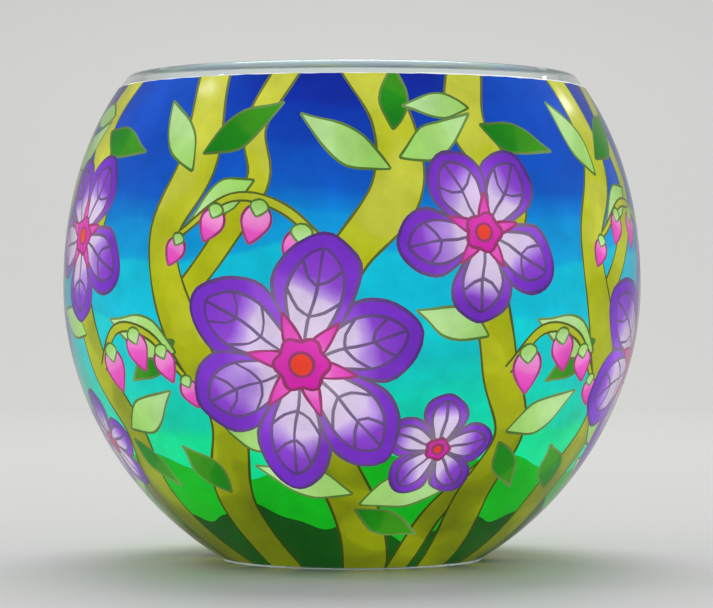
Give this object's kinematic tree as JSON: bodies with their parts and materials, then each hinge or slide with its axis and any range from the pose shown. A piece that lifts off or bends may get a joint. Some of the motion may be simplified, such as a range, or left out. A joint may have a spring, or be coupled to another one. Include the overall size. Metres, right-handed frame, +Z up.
{
  "type": "glass tealight globe",
  "caption": "Ball-shaped clear glass tealight globe with an open rounded lip, a printed film round the outside and a battery LED tealight standing on its floor.",
  "frame": {"origin": "centre of the flat foot, on the surface that the globe stands on", "axes": "+Z up along the globe's turning axis; +X towards the tealight's switch, away from the middle of its battery door"},
  "size_m": [0.1104, 0.1104, 0.0919],
  "materials": {
    "clear_glass": "clear, fire-polished",
    "printed_film": "multicoloured translucent print on a white backing, satin gloss",
    "white_plastic": "moulded, fine matt",
    "frosted_plastic": "frosted, translucent",
    "board_laminate": "green solder resist",
    "led_epoxy": "clear epoxy",
    "stainless_steel": "bright drawn steel",
    "nickelled_steel": "nickel plated strip",
    "black_plastic": "moulded, matt"
  },
  "bodies": {
    "globe": {"glass_globe": "clear_glass", "decor_film": "printed_film"},
    "tealight": {"tealight_housing": "white_plastic", "flame_lens": "frosted_plastic", "base_plate": "white_plastic", "circuit_board": "board_laminate", "led": "led_epoxy", "negative_contact": "nickelled_steel", "positive_contact": "nickelled_steel"},
    "battery_door": {"battery_door": "white_plastic", "coin_cell": "stainless_steel"},
    "switch": {"switch_slider": "black_plastic", "switch_wiper": "nickelled_steel"}
  },
  "joints": [
    {"name": "tealight_lift", "type": "slide", "parent": "globe", "child": "tealight", "axis": [0, 0, 1], "range_m": [0, 0.1]},
    {"name": "battery_door_turn", "type": "hinge", "parent": "tealight", "child": "battery_door", "pos_m": [-0.003, 0, 0.0049], "axis": [0, 0, -1], "range_deg": [0, 40]},
    {"name": "switch_slide", "type": "slide", "parent": "tealight", "child": "switch", "axis": [0, 1, 0], "range_m": [0, 0.0025]}
  ]
}
